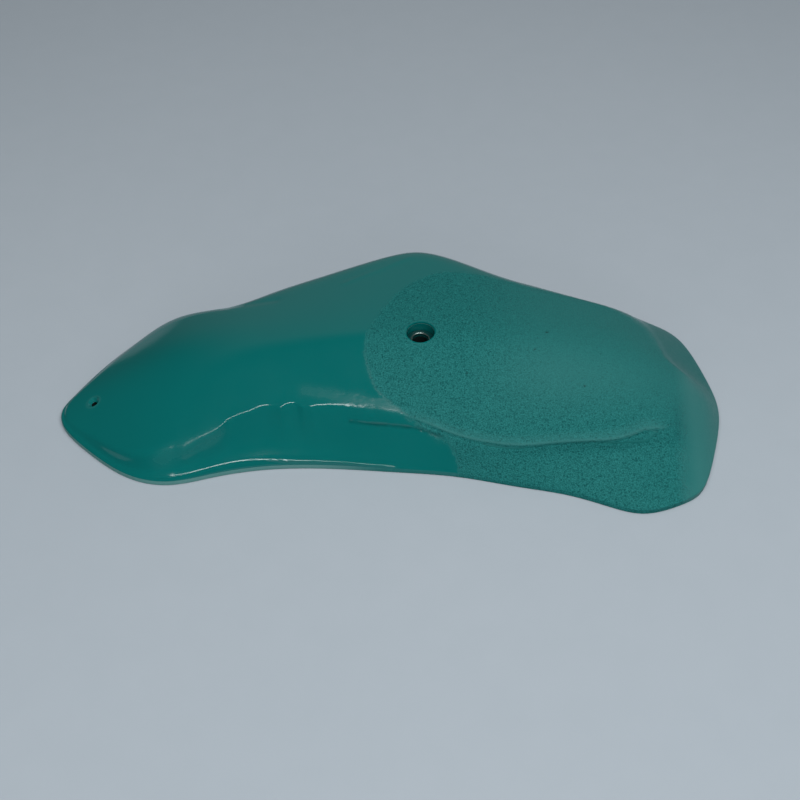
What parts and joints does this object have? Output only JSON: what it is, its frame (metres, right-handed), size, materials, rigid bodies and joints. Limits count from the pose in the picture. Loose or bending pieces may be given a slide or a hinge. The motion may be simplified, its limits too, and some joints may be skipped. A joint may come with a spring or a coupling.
{
  "type": "climbing hold",
  "caption": "Large low bolt-on climbing hold with a glossy half, a pitted grip zone over a front lip, a counterbored bolt hole and a hollow ribbed back.",
  "frame": {"origin": "middle of the flat back, in the plane that meets the wall", "axes": "+X along the hold from the pointed tip to the blunt end, +Y from the front lip to the back, +Z away from the wall"},
  "size_m": [0.4518, 0.2312, 0.0599],
  "materials": {
    "smooth_green": "polished cast polyurethane, through-coloured teal green",
    "gritty_green": "finely pitted matt teal green",
    "zinc_steel": "zinc-plated steel, a little worn by the bolt head"
  },
  "bodies": {
    "root": {"body_casting": "smooth_green", "grip_layer": "gritty_green", "bolt_washer": "zinc_steel"}
  },
  "joints": []
}
